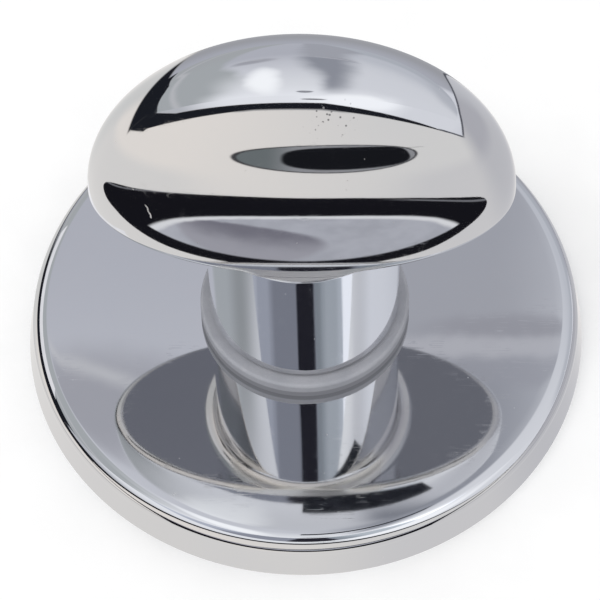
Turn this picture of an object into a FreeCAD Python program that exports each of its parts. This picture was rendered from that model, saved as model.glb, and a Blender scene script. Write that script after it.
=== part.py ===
import FreeCAD, Part
import math
import os

# Bathroom thumb turn on a round rose. Millimetres, +Z away from the door along the turn's axis.
# The origin is the centre of the rose's foot, on the face of the door. X runs along the knob at rest.

# Driving dimensions: rose cover
ROSE_RIM_DIAMETER = 50.0
ROSE_FLARE = 0.45
ROSE_HEIGHT = 4.2
ROSE_EDGE_RADIUS = 1.5
COVER_WALL = 0.9

# Driving dimensions: turn knob and its neck
KNOB_LENGTH = 37.2
KNOB_THICKNESS = 17.6
KNOB_DEPTH = 19.6
KNOB_FULLNESS = 2.03
KNOB_LOWER_EDGE_RADIUS = 0.9
KNOB_STANDOFF = 18.8
NECK_DIAMETER = 17.2
NECK_FOOT_RADIUS = 0.8
NECK_FLARE_RADIUS = 1.5

# Driving dimensions: spigot, socket and the parts on it
SPIGOT_DIAMETER = 12.0
SPIGOT_ACROSS_FLATS = 10.4
SPIGOT_END_GAP = 0.3
SOCKET_SQUARE = 5.2
SOCKET_DEPTH = 20.0
SOCKET_CHAMFER = 0.5
GROOVE_DEPTH = 0.5
LAND_BELOW_GROOVE = 0.4

# Driving dimensions: bush
BUSH_FLANGE_DIAMETER = 19.0
BUSH_FLANGE_THICKNESS = 1.65
BUSH_FLANGE_EDGE = 0.3
BUSH_SLEEVE_WALL = 1.2

# Driving dimensions: retaining ring, stop washer and disc spring
RING_THICKNESS = 0.8
RING_WIDTH = 1.7
RING_OPENING_ANGLE = 50.0
RING_EAR_RADIUS = 1.15
RING_EAR_HOLE_RADIUS = 0.5
WASHER_THICKNESS = 0.6
WASHER_WIDTH = 2.0
LUG_REACH = 2.2
LUG_ANGLE = 24.0
SPRING_THICKNESS = 0.25
SPRING_DISH = 0.2
SPRING_WIDTH = 1.3

# Driving dimensions: base plate
PLATE_THICKNESS = 1.6
HUB_WALL = 1.6
BOSS_DIAMETER = 8.6
BOSS_TOP_GAP = 0.3
SCREW_CENTRES = 38.0
SCREW_HOLE_DIAMETER = 4.2
COUNTERSINK_DIAMETER = 7.6
RIB_COUNT = 8
RIB_WIDTH = 1.3
RIB_HEIGHT = 1.2
SNAP_RING_WIDTH = 0.9
SNAP_RING_THICKNESS = 0.8
SNAP_RING_Z = 0.45
SNAP_RING_OPENING_ANGLE = 18.0

# Motion
TURN_ANGLE = 90.0
STOP_PLAY_ANGLE = 0.5

# Clearances
RUNNING_CLEARANCE = 0.05
SEAT_CLEARANCE = 0.03
LOOSE_CLEARANCE = 0.4
RIM_CLEARANCE = 0.15

# Heights that follow from them, measured from the door
CEILING = ROSE_HEIGHT - COVER_WALL
RING_Z = SPIGOT_END_GAP + LAND_BELOW_GROOVE
WASHER_Z = RING_Z + RING_THICKNESS
SPRING_Z = WASHER_Z + WASHER_THICKNESS
WEB_Z = SPRING_Z + SPRING_THICKNESS + SPRING_DISH + RUNNING_CLEARANCE
BUSH_TOP = ROSE_HEIGHT + BUSH_FLANGE_THICKNESS
NECK_FOOT = BUSH_TOP + RUNNING_CLEARANCE
KNOB_UNDERSIDE = ROSE_HEIGHT + KNOB_STANDOFF

# Radii that follow from them
RIM_RADIUS = ROSE_RIM_DIAMETER / 2
FOOT_RADIUS = RIM_RADIUS + ROSE_FLARE
NECK_RADIUS = NECK_DIAMETER / 2
SPIGOT_RADIUS = SPIGOT_DIAMETER / 2
GROOVE_RADIUS = SPIGOT_RADIUS - GROOVE_DEPTH
BUSH_BORE_RADIUS = SPIGOT_RADIUS + RUNNING_CLEARANCE
BUSH_SLEEVE_RADIUS = BUSH_BORE_RADIUS + BUSH_SLEEVE_WALL
HUB_BORE_RADIUS = BUSH_SLEEVE_RADIUS + SEAT_CLEARANCE
WASHER_RADIUS = SPIGOT_RADIUS + WASHER_WIDTH
LUG_RADIUS = WASHER_RADIUS + LUG_REACH
POCKET_RADIUS = WASHER_RADIUS + LOOSE_CLEARANCE
WINDOW_RADIUS = LUG_RADIUS + LOOSE_CLEARANCE
HUB_RADIUS = WINDOW_RADIUS + HUB_WALL

Z_AXIS = FreeCAD.Vector(0, 0, 1)
CENTRE = FreeCAD.Vector(0, 0, 0)


def cover_inner_radius(z):
    """Inside of the cover's flared wall at height z."""
    straight = ROSE_HEIGHT - ROSE_EDGE_RADIUS
    return FOOT_RADIUS - COVER_WALL - ROSE_FLARE * z / straight


PLATE_RADIUS = cover_inner_radius(PLATE_THICKNESS) - RIM_CLEARANCE
SNAP_RING_RADIUS = (PLATE_RADIUS + cover_inner_radius(SNAP_RING_Z + SNAP_RING_THICKNESS)) / 2


def point(radius, z):
    """Point of a half section, in the XZ plane."""
    return FreeCAD.Vector(radius, 0, z)


def line(start, end):
    return Part.LineSegment(start, end).toShape()


def quarter_arc(start, centre, end):
    """Arc of a rounded corner, from start to end round centre."""
    middle_direction = (start - centre) + (end - centre)
    middle_direction.normalize()
    middle = centre + middle_direction * (start - centre).Length
    return Part.Arc(start, middle, end).toShape()


def revolve(edges, angle=360.0):
    """Solid of revolution about Z from the edges of a closed half section."""
    face = Part.Face(Part.Wire(edges))
    return face.revolve(CENTRE, Z_AXIS, angle)


def revolve_points(points, angle=360.0):
    """Solid of revolution from the corners of a straight-sided half section."""
    face = Part.Face(Part.makePolygon(points + [points[0]]))
    return face.revolve(CENTRE, Z_AXIS, angle)


def turned(shape, angle):
    copy = shape.copy()
    copy.rotate(CENTRE, Z_AXIS, angle)
    return copy


def flat_ring(inner, outer, low, high, angle=360.0):
    """Flat ring about Z between two radii and two heights, closed or open."""
    return revolve_points([point(inner, low), point(outer, low), point(outer, high), point(inner, high)], angle)


def snap_groove():
    """Room for the snap ring, with the seat clearance all round it."""
    half = SNAP_RING_WIDTH / 2 + SEAT_CLEARANCE
    low = SNAP_RING_Z - SEAT_CLEARANCE
    high = SNAP_RING_Z + SNAP_RING_THICKNESS + SEAT_CLEARANCE
    return flat_ring(SNAP_RING_RADIUS - half, SNAP_RING_RADIUS + half, low, high)


def sector(radius, height, angle, z):
    """Slice of a disc that starts at +X and runs anticlockwise."""
    return Part.makeCylinder(radius, height, FreeCAD.Vector(0, 0, z), Z_AXIS, angle)


# The knob: half of a full ellipsoid on a flat underside, with an oval plan

def knob_profile():
    """Half section along the knob's length: a superellipse over a rounded lower edge."""
    half_length = KNOB_LENGTH / 2
    edge = KNOB_LOWER_EDGE_RADIUS
    depth = KNOB_DEPTH - edge
    base = KNOB_UNDERSIDE + edge
    steps = 10
    outline = []
    for step in range(steps + 1):
        angle = math.pi / 2 * step / steps
        radius = half_length * max(0.0, math.cos(angle)) ** (2 / KNOB_FULLNESS)
        rise = depth * math.sin(angle) ** (2 / KNOB_FULLNESS)
        outline.append(point(radius, base + rise))
    outline[-1] = point(0, KNOB_UNDERSIDE + KNOB_DEPTH)
    crown = Part.BSplineCurve()
    crown.interpolate(Points=outline, InitialTangent=FreeCAD.Vector(0, 0, 1), FinalTangent=FreeCAD.Vector(-1, 0, 0))
    side = point(half_length, base)
    under = point(half_length - edge, KNOB_UNDERSIDE)
    axis_low = point(0, KNOB_UNDERSIDE)
    return [
        crown.toShape(),
        line(outline[-1], axis_low),
        line(axis_low, under),
        quarter_arc(under, point(half_length - edge, base), side),
    ]


def squeezed_to_oval(shape):
    """Round shape about Z made oval: full length along X, the knob's thickness along Y."""
    squeeze = FreeCAD.Matrix()
    squeeze.A22 = KNOB_THICKNESS / KNOB_LENGTH
    return shape.transformGeometry(squeeze)


def knob_dome():
    return squeezed_to_oval(revolve(knob_profile()))


def neck_flare():
    """Hollow-cornered flare under the knob, trimmed to the knob's own oval where it would stand out."""
    top = KNOB_UNDERSIDE + NECK_FLARE_RADIUS
    low = point(NECK_RADIUS, KNOB_UNDERSIDE - NECK_FLARE_RADIUS)
    wide = point(NECK_RADIUS + NECK_FLARE_RADIUS, KNOB_UNDERSIDE)
    hollow = quarter_arc(low, point(NECK_RADIUS + NECK_FLARE_RADIUS, low.z), wide)
    wide_top = point(wide.x, top)
    axis_top = point(0, top)
    axis_low = point(0, low.z)
    flare = revolve([
        hollow,
        line(wide, wide_top),
        line(wide_top, axis_top),
        line(axis_top, axis_low),
        line(axis_low, low),
    ])
    plan = squeezed_to_oval(Part.makeCylinder(KNOB_LENGTH / 2, top - low.z, FreeCAD.Vector(0, 0, low.z)))
    return flare.common(plan)


def neck_and_spigot():
    """Neck with a rounded foot, and the spigot below it with its groove, in one turning."""
    top = KNOB_UNDERSIDE + NECK_FLARE_RADIUS
    foot = NECK_FOOT_RADIUS
    groove_top = RING_Z + RING_THICKNESS
    foot_start = point(NECK_RADIUS - foot, NECK_FOOT)
    foot_end = point(NECK_RADIUS, NECK_FOOT + foot)
    corners = [
        point(0, SPIGOT_END_GAP),
        point(SPIGOT_RADIUS, SPIGOT_END_GAP),
        point(SPIGOT_RADIUS, RING_Z),
        point(GROOVE_RADIUS, RING_Z),
        point(GROOVE_RADIUS, groove_top),
        point(SPIGOT_RADIUS, groove_top),
        point(SPIGOT_RADIUS, NECK_FOOT),
        foot_start,
    ]
    edges = [line(a, b) for a, b in zip(corners, corners[1:])]
    edges.append(quarter_arc(foot_start, point(NECK_RADIUS - foot, NECK_FOOT + foot), foot_end))
    edges.append(line(foot_end, point(NECK_RADIUS, top)))
    edges.append(line(point(NECK_RADIUS, top), point(0, top)))
    edges.append(line(point(0, top), corners[0]))
    return revolve(edges)


def spindle_socket():
    """Square socket for the spindle, with a lead-in at its mouth."""
    side = SOCKET_SQUARE
    half = side / 2
    mouth = half + SOCKET_CHAMFER
    hole = Part.makeBox(side, side, SOCKET_DEPTH, FreeCAD.Vector(-half, -half, SPIGOT_END_GAP))
    wide = square_wire(mouth, SPIGOT_END_GAP)
    narrow = square_wire(half, SPIGOT_END_GAP + SOCKET_CHAMFER)
    return hole.fuse(Part.makeLoft([wide, narrow], True))


def square_wire(half, z):
    corners = [(-half, -half), (half, -half), (half, half), (-half, half), (-half, -half)]
    return Part.makePolygon([FreeCAD.Vector(x, y, z) for x, y in corners])


def spigot_flats(height):
    """The two slabs that are cut away beside the flats, from the spigot's end up to a height."""
    width = 2 * SPIGOT_DIAMETER
    slabs = []
    for side in (-1, 1):
        corner_y = SPIGOT_ACROSS_FLATS / 2 if side > 0 else -SPIGOT_ACROSS_FLATS / 2 - width
        corner = FreeCAD.Vector(-width / 2, corner_y, SPIGOT_END_GAP)
        slabs.append(Part.makeBox(width, width, height - SPIGOT_END_GAP, corner))
    return slabs


def thumb_turn():
    body = neck_and_spigot().fuse([neck_flare(), knob_dome()]).removeSplitter()
    for slab in spigot_flats(SPRING_Z):
        body = body.cut(slab)
    return body.cut(spindle_socket())


# The bush: flange between neck and rose, and the sleeve that the spigot runs in

def neck_bush():
    flange_radius = BUSH_FLANGE_DIAMETER / 2
    edge = BUSH_FLANGE_EDGE
    round_start = point(flange_radius, BUSH_TOP - edge)
    round_end = point(flange_radius - edge, BUSH_TOP)
    corners = [
        round_end,
        point(BUSH_BORE_RADIUS, BUSH_TOP),
        point(BUSH_BORE_RADIUS, WEB_Z),
        point(BUSH_SLEEVE_RADIUS, WEB_Z),
        point(BUSH_SLEEVE_RADIUS, ROSE_HEIGHT),
        point(flange_radius, ROSE_HEIGHT),
        round_start,
    ]
    edges = [line(a, b) for a, b in zip(corners, corners[1:])]
    edges.append(quarter_arc(round_start, point(flange_radius - edge, BUSH_TOP - edge), round_end))
    return revolve(edges)


# The rose cover: one pressing of even wall, flared towards the door

def rose_cover():
    straight = ROSE_HEIGHT - ROSE_EDGE_RADIUS
    inner_edge = max(ROSE_EDGE_RADIUS - COVER_WALL, 0.1)
    inner_top = RIM_RADIUS - COVER_WALL
    outer_low = point(FOOT_RADIUS, 0)
    outer_high = point(RIM_RADIUS, straight)
    flat_start = point(RIM_RADIUS - ROSE_EDGE_RADIUS, ROSE_HEIGHT)
    hole_top = point(HUB_BORE_RADIUS, ROSE_HEIGHT)
    hole_low = point(HUB_BORE_RADIUS, CEILING)
    inner_flat = point(inner_top - inner_edge, CEILING)
    inner_high = point(inner_top, CEILING - inner_edge)
    inner_low = point(FOOT_RADIUS - COVER_WALL, 0)
    shell = revolve([
        line(outer_low, outer_high),
        quarter_arc(outer_high, point(flat_start.x, straight), flat_start),
        line(flat_start, hole_top),
        line(hole_top, hole_low),
        line(hole_low, inner_flat),
        quarter_arc(inner_flat, point(inner_flat.x, inner_high.z), inner_high),
        line(inner_high, inner_low),
        line(inner_low, outer_low),
    ])
    return shell.cut(snap_groove())


# The base plate: hub with pocket and stop window, ribs, and bosses round the fixing holes

def plate_rib(angle):
    length = PLATE_RADIUS - HUB_RADIUS
    corner = FreeCAD.Vector(HUB_RADIUS - RIB_WIDTH / 2, -RIB_WIDTH / 2, PLATE_THICKNESS)
    return turned(Part.makeBox(length, RIB_WIDTH, RIB_HEIGHT, corner), angle)


def screw_places():
    return [FreeCAD.Vector(side * SCREW_CENTRES / 2, 0, 0) for side in (-1, 1)]


def screw_hole(place):
    """Through hole with a countersink for the head of a wood screw."""
    top = CEILING - BOSS_TOP_GAP
    sink = (COUNTERSINK_DIAMETER - SCREW_HOLE_DIAMETER) / 2
    hole = Part.makeCylinder(SCREW_HOLE_DIAMETER / 2, top, place)
    cone_place = place + FreeCAD.Vector(0, 0, top - sink)
    cone = Part.makeCone(SCREW_HOLE_DIAMETER / 2, COUNTERSINK_DIAMETER / 2, sink, cone_place)
    return hole.fuse(cone)


def stop_window():
    """Pocket for washer, spring and ring, with the sector in which the lug swings."""
    pocket = Part.makeCylinder(POCKET_RADIUS, WEB_Z)
    sweep = TURN_ANGLE + LUG_ANGLE + 2 * STOP_PLAY_ANGLE
    swing = sector(WINDOW_RADIUS, WEB_Z, sweep, 0)
    return pocket.fuse(turned(swing, -LUG_ANGLE / 2 - STOP_PLAY_ANGLE))


def base_plate():
    plate = Part.makeCylinder(PLATE_RADIUS, PLATE_THICKNESS)
    raised = [Part.makeCylinder(HUB_RADIUS, CEILING)]
    boss_height = CEILING - BOSS_TOP_GAP
    raised += [Part.makeCylinder(BOSS_DIAMETER / 2, boss_height, place) for place in screw_places()]
    raised += [plate_rib(360.0 * (index + 0.5) / RIB_COUNT) for index in range(RIB_COUNT)]
    plate = plate.fuse(raised).removeSplitter()
    plate = plate.cut(stop_window())
    plate = plate.cut(Part.makeCylinder(HUB_BORE_RADIUS, CEILING))
    for place in screw_places():
        plate = plate.cut(screw_hole(place))
    return plate.cut(snap_groove())


def snap_ring():
    """Open ring of spring strip, half in the plate's rim and half in the cover's groove."""
    half = SNAP_RING_WIDTH / 2
    inner = SNAP_RING_RADIUS - half
    outer = SNAP_RING_RADIUS + half
    top = SNAP_RING_Z + SNAP_RING_THICKNESS
    ring = flat_ring(inner, outer, SNAP_RING_Z, top, 360 - SNAP_RING_OPENING_ANGLE)
    return turned(ring, 90 + SNAP_RING_OPENING_ANGLE / 2)


# The pieces on the spigot

def stop_washer():
    """Washer with a flat-sided hole, and the lug that meets the ends of the window."""
    disc = Part.makeCylinder(WASHER_RADIUS, WASHER_THICKNESS, FreeCAD.Vector(0, 0, WASHER_Z))
    lug = turned(sector(LUG_RADIUS, WASHER_THICKNESS, LUG_ANGLE, WASHER_Z), -LUG_ANGLE / 2)
    blank = disc.fuse(lug).removeSplitter()
    hole = Part.makeCylinder(SPIGOT_RADIUS + SEAT_CLEARANCE, WASHER_THICKNESS, FreeCAD.Vector(0, 0, WASHER_Z))
    across = SPIGOT_ACROSS_FLATS + 2 * SEAT_CLEARANCE
    slot = Part.makeBox(SPIGOT_DIAMETER * 2, across, WASHER_THICKNESS,
                        FreeCAD.Vector(-SPIGOT_DIAMETER, -across / 2, WASHER_Z))
    return blank.cut(hole.common(slot))


def disc_spring():
    """Dished washer, low at its bore and high at its rim."""
    bore = SPIGOT_RADIUS + SEAT_CLEARANCE
    rim = SPIGOT_RADIUS + SPRING_WIDTH
    return revolve_points([
        point(bore, SPRING_Z),
        point(rim, SPRING_Z + SPRING_DISH),
        point(rim, SPRING_Z + SPRING_DISH + SPRING_THICKNESS),
        point(bore, SPRING_Z + SPRING_THICKNESS),
    ])


def retaining_ring():
    """Open ring in the spigot's groove, with an eyed ear at each end."""
    inner = GROOVE_RADIUS + SEAT_CLEARANCE
    outer = inner + RING_WIDTH
    band = flat_ring(inner, outer, RING_Z, RING_Z + RING_THICKNESS, 360.0 - RING_OPENING_ANGLE)
    band = turned(band, RING_OPENING_ANGLE / 2 - 90)
    middle = inner + RING_EAR_RADIUS
    ears = []
    holes = []
    for side in (-1, 1):
        angle = math.radians(-90 + side * RING_OPENING_ANGLE / 2)
        place = FreeCAD.Vector(middle * math.cos(angle), middle * math.sin(angle), RING_Z)
        ears.append(Part.makeCylinder(RING_EAR_RADIUS, RING_THICKNESS, place))
        holes.append(Part.makeCylinder(RING_EAR_HOLE_RADIUS, RING_THICKNESS, place))
    spigot = Part.makeCylinder(inner, RING_THICKNESS, FreeCAD.Vector(0, 0, RING_Z))
    return band.fuse(ears).cut(spigot).cut(holes[0]).cut(holes[1]).removeSplitter()


PIECES = {
    "thumb_turn": thumb_turn,
    "neck_bush": neck_bush,
    "rose_cover": rose_cover,
    "base_plate": base_plate,
    "snap_ring": snap_ring,
    "stop_washer": stop_washer,
    "disc_spring": disc_spring,
    "retaining_ring": retaining_ring,
}

os.makedirs("parts", exist_ok=True)
for name, make in PIECES.items():
    shape = make()
    if shape.ShapeType != "Solid":
        shape = shape.Solids[0]
    shape.exportStep("parts/" + name + ".step")
    box = shape.BoundBox
    print(name, "valid", shape.isValid(), "volume", round(shape.Volume, 1), "z", round(box.ZMin, 2), round(box.ZMax, 2))
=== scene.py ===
# %% [markdown]
# # Bathroom thumb turn on a round rose
#
# A chromed knob, half of a full ellipsoid on a short neck, turns in a flat round rose.
# The CAD part comes first, so that every size and every joint is already right. This lesson
# dresses it: smooth mirror surfaces where the chrome shows, finishes for the hidden fittings,
# and a small light tent, because polished metal looks like whatever stands round it.

# %% Load the CAD part
import math
import bpy
import numpy as np
from mathutils import Matrix, Vector


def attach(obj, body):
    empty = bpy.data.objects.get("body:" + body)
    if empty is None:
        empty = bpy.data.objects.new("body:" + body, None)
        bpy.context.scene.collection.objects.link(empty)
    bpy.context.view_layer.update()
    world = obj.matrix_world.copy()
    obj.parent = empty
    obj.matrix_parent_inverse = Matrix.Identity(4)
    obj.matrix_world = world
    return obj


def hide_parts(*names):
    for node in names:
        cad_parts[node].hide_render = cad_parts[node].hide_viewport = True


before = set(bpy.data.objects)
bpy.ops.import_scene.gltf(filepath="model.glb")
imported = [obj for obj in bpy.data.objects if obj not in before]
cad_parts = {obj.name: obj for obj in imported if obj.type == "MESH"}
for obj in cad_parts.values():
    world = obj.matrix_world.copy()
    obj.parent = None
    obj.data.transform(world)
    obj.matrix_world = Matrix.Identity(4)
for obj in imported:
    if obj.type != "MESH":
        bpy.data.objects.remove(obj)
bpy.context.view_layer.update()
print("nodes:", sorted(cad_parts))

# %% [markdown]
# ## Arithmetic on shader sockets
#
# A finish is mostly sums: a scratch here, a little more haze there. Writing those sums as nodes by
# hand hides them, so one small class wraps a socket. A plus sign between two wrapped values adds a
# Math node, and so on. Every other node comes from `node`, which sets the settings first and then
# the sockets. Only arithmetic that the finishes below need is in the class.

# %% A wrapped socket
class Wire:
    """An output socket in a node tree. Arithmetic on it adds Math nodes."""

    def __init__(self, tree, socket=None):
        self.tree = tree
        self.socket = socket

    def node(self, kind, settings=None, sockets=None, output=0):
        """Adds a node: settings first, then socket values or links, by name or number."""
        made = self.tree.nodes.new(kind)
        for name, value in (settings or {}).items():
            setattr(made, name, value)
        for name, value in (sockets or {}).items():
            if isinstance(value, Wire):
                self.tree.links.new(value.socket, made.inputs[name])
            else:
                made.inputs[name].default_value = value
        return Wire(self.tree, made.outputs[output] if made.outputs else None)

    def maths(self, operation, *values):
        return self.node("ShaderNodeMath", {"operation": operation}, dict(enumerate(values)))

    def __add__(self, other):
        return self.maths("ADD", self, other)

    def __radd__(self, other):
        return self.maths("ADD", other, self)

    def __sub__(self, other):
        return self.maths("SUBTRACT", self, other)

    def __rsub__(self, other):
        return self.maths("SUBTRACT", other, self)

    def __mul__(self, other):
        return self.maths("MULTIPLY", self, other)

    def __rmul__(self, other):
        return self.maths("MULTIPLY", other, self)

    def __truediv__(self, other):
        return self.maths("DIVIDE", self, other)

    def __rtruediv__(self, other):
        return self.maths("DIVIDE", other, self)

    def __neg__(self):
        return self.maths("MULTIPLY", self, -1.0)

    def highest(self, other):
        return self.maths("MAXIMUM", self, other)

    def root(self):
        return self.maths("SQRT", self)

    def sine(self):
        return self.maths("SINE", self)

    def size_to_power(self, exponent):
        return self.maths("POWER", self.maths("ABSOLUTE", self), exponent)

    def rise(self, low, high):
        """0 below low, 1 above high, a smooth step between."""
        return self.node(
            "ShaderNodeMapRange",
            {"interpolation_type": "SMOOTHSTEP"},
            {"Value": self, "From Min": low, "From Max": high, "To Min": 0.0, "To Max": 1.0},
        )

    def between(self, low, high, soft):
        """1 from low to high, with soft borders."""
        return self.rise(low - soft, low + soft) * (1 - self.rise(high - soft, high + soft))

    def blend(self, first, second):
        """Colour that goes from first to second with this value."""
        return self.node(
            "ShaderNodeMix",
            {"data_type": "RGBA", "clamp_factor": True},
            {0: self, 6: colour_value(first), 7: colour_value(second)},
            output=2,
        )


def colour_value(colour):
    """A wired colour stays as it is; three numbers get the alpha that a socket wants."""
    return colour if isinstance(colour, Wire) else (*colour, 1.0)


def split(graph, vector):
    """The x, y and z parts of a vector."""
    return [graph.node("ShaderNodeSeparateXYZ", sockets={0: vector}, output=part) for part in range(3)]


def linear(red, green, blue, share=1.0):
    """A colour given as the screen shows it, 0 to 255, turned into light, and divided by share."""
    values = []
    for channel in (red, green, blue):
        c = channel / 255
        light = c / 12.92 if c <= 0.04045 else ((c + 0.055) / 1.055) ** 2.4
        values.append(light / share)
    return tuple(values)


print("mid grey 128 is", round(linear(128, 128, 128)[0], 3), "of the light")

# %% [markdown]
# ## Smooth shapes from rings
#
# A mirror shows every flat facet, so the visible chrome is not the CAD's triangles but a dense mesh
# worked out from the same formula. A helper joins rings of points into a skin. Each skin is one
# smooth stretch of surface; where the real thing has a crisp edge, one skin ends and the next begins,
# so that the shading breaks there and nowhere else.

# %% Rings into skins
MM = 0.001
AROUND = 240  # points in every ring
CRISP = math.radians(35)  # faces that meet at more than this keep a crisp edge


def ring(radius, z, squeeze=1.0):
    """A round of points at a height. squeeze makes it an oval, narrower along Y."""
    angle = np.linspace(0, 2 * math.pi, AROUND, endpoint=False)
    x, y = radius * np.cos(angle), radius * squeeze * np.sin(angle)
    return np.column_stack([x, y, np.full(AROUND, z)])


def quarter(centre_radius, centre_z, radius, start, end, steps=10):
    """Points (radius, z) along an arc in a half section, angles in degrees from +X."""
    points = []
    for step in range(steps + 1):
        angle = math.radians(start + (end - start) * step / steps)
        across, upwards = radius * math.cos(angle), radius * math.sin(angle)
        points.append((centre_radius + across, centre_z + upwards))
    return points


def skins_to_object(name, skins, body):
    """One object from several skins, each a list of rings in millimetres."""
    vertices = []
    faces = []
    for rings in skins:
        first = len(vertices)
        count = len(rings[0])
        for points in rings:
            vertices.extend(map(tuple, np.asarray(points) * MM))
        for row in range(len(rings) - 1):
            low = first + row * count
            for i in range(count):
                j = (i + 1) % count
                faces.append((low + i, low + j, low + count + j, low + count + i))
    mesh = bpy.data.meshes.new(name)
    mesh.from_pydata(vertices, [], faces)
    mesh.validate()
    mesh.shade_smooth()
    piece = bpy.data.objects.new(name, mesh)
    bpy.context.scene.collection.objects.link(piece)
    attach(piece, body)
    size = [round(v / MM, 2) for v in piece.dimensions]
    print(name, "faces:", len(mesh.polygons), "size in mm:", size)
    return piece


# %% [markdown]
# ## The knob
#
# The knob is cast or turned from zinc or brass, ground smooth and chromed. From above it is an oval,
# from the side it is half of a full ellipse, a little fuller than a true one. That shape is a
# superellipse: the same sum as an ellipse, with an exponent just over two. Below it a small round
# turns into a flat underside.

# %% The dome of the knob
HALF_LENGTH = 18.6
HALF_THICKNESS = 8.8
SQUEEZE = HALF_THICKNESS / HALF_LENGTH
FULLNESS = 2.03
LOWER_EDGE = 0.9
UNDERSIDE = 23.0
KNOB_TOP = 42.6
DOME_STEPS = 120
NEARLY_ZERO = 1e-5  # keeps the last ring, at the very top, from closing to a point


def dome_rings():
    base = UNDERSIDE + LOWER_EDGE
    height = KNOB_TOP - base
    lower_edge = quarter(HALF_LENGTH - LOWER_EDGE, base, LOWER_EDGE, -90, 0)
    rings = [ring(r, z, SQUEEZE) for r, z in lower_edge]
    for step in range(1, DOME_STEPS + 1):
        angle = math.pi / 2 * step / DOME_STEPS
        radius = HALF_LENGTH * max(math.cos(angle), NEARLY_ZERO) ** (2 / FULLNESS)
        rings.append(ring(radius, base + height * math.sin(angle) ** (2 / FULLNESS), SQUEEZE))
    return rings


dome = dome_rings()
print("dome rings:", len(dome), "top at", round(float(dome[-1][0][2]), 2), "mm")

# %% [markdown]
# ## The neck
#
# The knob stands on a round neck that flares out where it meets the flat underside. The flare is
# wider than the knob is thick, so on the two long sides it is trimmed to the knob's own oval. The foot
# of the neck has a small round and stands just above the bush. The foot and the underside are simple:
# a lathe profile, and a fill between the neck and the knob's lower edge.

# %% Neck, foot and underside
NECK = 8.6
FLARE = 1.5
FOOT = 5.9
FOOT_ROUND = 0.8
WALL_START = 1.5  # the straight wall's rings begin this far above the foot
SPIGOT = 6.0


def trimmed(points, half_length, half_thickness):
    """Points of a ring pulled in to an oval where they lie outside it."""
    points = np.array(points)
    reach = np.hypot(points[:, 0] / half_length, points[:, 1] / half_thickness)
    points[:, :2] /= np.maximum(reach, 1.0)[:, None]
    return points


def neck_rings():
    profile = [(SPIGOT, FOOT)]
    profile += quarter(NECK - FOOT_ROUND, FOOT + FOOT_ROUND, FOOT_ROUND, -90, 0)
    profile += [(NECK, z) for z in np.linspace(FOOT + WALL_START, UNDERSIDE - FLARE, 12)]
    return [ring(r, z) for r, z in profile]


def underside_rings():
    half = HALF_LENGTH - LOWER_EDGE
    outer = ring(half, UNDERSIDE, SQUEEZE)
    inner = trimmed(ring(NECK, UNDERSIDE), half, half * SQUEEZE)
    return [inner + (outer - inner) * share for share in np.linspace(0, 1, 12)]


print("the flare stands out", round(NECK + FLARE - HALF_THICKNESS, 2), "mm before it is trimmed")

# %% [markdown]
# The flare needs more care, because it shows in front as a curved seam under the knob. A hard trim
# would leave a crease that no polished casting has. So the smaller of two radii is taken with its
# corner rounded off, and the knob's side is carried down over the neck, where it fades into it.

# %% Flare into the knob
SEAM_SOFTNESS = 0.12
CARRY_START = 9.2  # nearer to the axis than this the knob's side is carried down in full
CARRY_SLOPE, CARRY_CURVE = 0.044, 0.0087
CARRY_LOST_AT_ENDS = 0.9


def soft_least(first, second, softness):
    """The smaller of two radii, with the corner between them rounded off."""
    near = np.maximum(softness - np.abs(first - second), 0.0) / softness
    return np.minimum(first, second) - near * near * softness / 4


def side_radius(angles, z):
    """How far the knob's side stands out: rounded at its lower edge, carried down over the neck."""
    outline = HALF_LENGTH / np.hypot(np.cos(angles), np.sin(angles) / SQUEEZE)
    lift = min(max(z - UNDERSIDE, 0.0), LOWER_EDGE)
    inset = LOWER_EDGE - math.sqrt(LOWER_EDGE ** 2 - (LOWER_EDGE - lift) ** 2)
    away = np.clip((outline - CARRY_START) / (NECK + FLARE - CARRY_START), 0.0, 1.0)
    away = away * away * (3 - 2 * away)
    below = UNDERSIDE + LOWER_EDGE - z
    carried = (CARRY_SLOPE * below + CARRY_CURVE * below * below)
    carried = carried * (1 - CARRY_LOST_AT_ENDS * np.cos(angles) ** 2)
    return outline * (1 - away * inset / HALF_LENGTH) + carried * (1 - away)


def flare_rings():
    profile = quarter(NECK + FLARE, UNDERSIDE - FLARE, FLARE, 180, 90, steps=30)
    heights = np.linspace(UNDERSIDE, UNDERSIDE + LOWER_EDGE, 13)[1:]
    profile += [(NECK + FLARE, z) for z in heights]
    angles = np.linspace(0, 2 * math.pi, AROUND, endpoint=False)
    rings = []
    for flare, z in profile:
        reach = soft_least(np.full(AROUND, flare), side_radius(angles, z), SEAM_SOFTNESS)
        reach = np.maximum(reach, NECK)
        x, y = reach * np.cos(angles), reach * np.sin(angles)
        rings.append(np.column_stack([x, y, np.full(AROUND, z)]))
    return rings


flare = flare_rings()
print("flare rings:", len(flare), "rounded at the seam by", SEAM_SOFTNESS, "mm")

# %% [markdown]
# ## The spigot and its square socket
#
# Below the neck a thinner spigot runs through the bush. It has a groove for the retaining ring, two
# flats that drive the stop washer, and a square socket for the spindle of the lock. All of it hides
# behind the rose, but it shows when the part lies on its side, so it is made as well.

# %% Spigot and socket
SPIGOT_END = 0.3
FLATS = 5.2
FLATS_TOP = 2.1
GROOVE = (0.7, 1.5, 5.5)  # from this height to that, down to this radius
SOCKET = 2.6
SOCKET_MOUTH = 3.1
SOCKET_TOP = 20.3
CENTRE = 0.01  # the socket's roof closes to a square as small as this


def flatted(points):
    """A ring cut off straight on two sides, where the stop washer grips."""
    points = np.array(points)
    points[:, 1] = np.clip(points[:, 1], -FLATS, FLATS)
    return points


def square_ring(half, z):
    """As many points as a round ring has, but on a square."""
    points = ring(1.0, z)
    points[:, :2] *= half / np.max(np.abs(points[:, :2]), axis=1)[:, None]
    return points


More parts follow.
